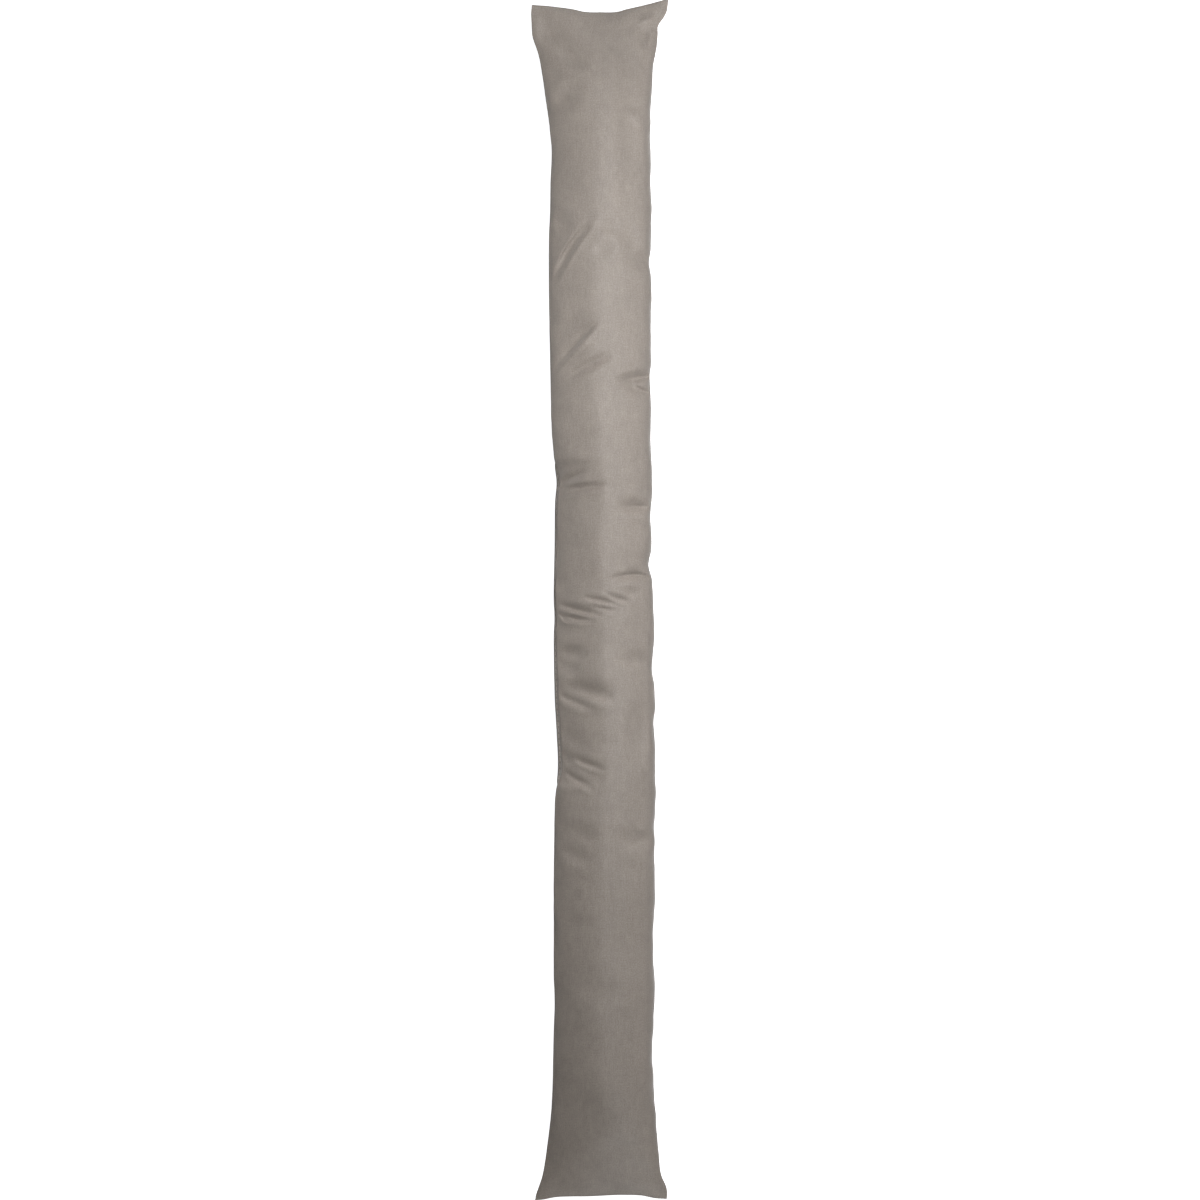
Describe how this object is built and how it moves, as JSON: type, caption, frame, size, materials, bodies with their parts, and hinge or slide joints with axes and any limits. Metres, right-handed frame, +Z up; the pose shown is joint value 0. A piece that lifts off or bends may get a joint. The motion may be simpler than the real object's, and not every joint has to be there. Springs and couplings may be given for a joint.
{
  "type": "draught excluder",
  "caption": "Long filled cloth tube with flat sewn ends and a stitched closing lip, laid along a door's foot to stop draughts.",
  "frame": {"origin": "on the surface it lies on, under the middle of its bounding box", "axes": "+X along the tube, +Y towards the sewn side, +Z up"},
  "size_m": [0.8989, 0.1027, 0.0515],
  "materials": {
    "cover_fabric": "taupe-grey plain weave with a soft sheen"
  },
  "bodies": {
    "root": {"cover": "cover_fabric"}
  },
  "joints": []
}
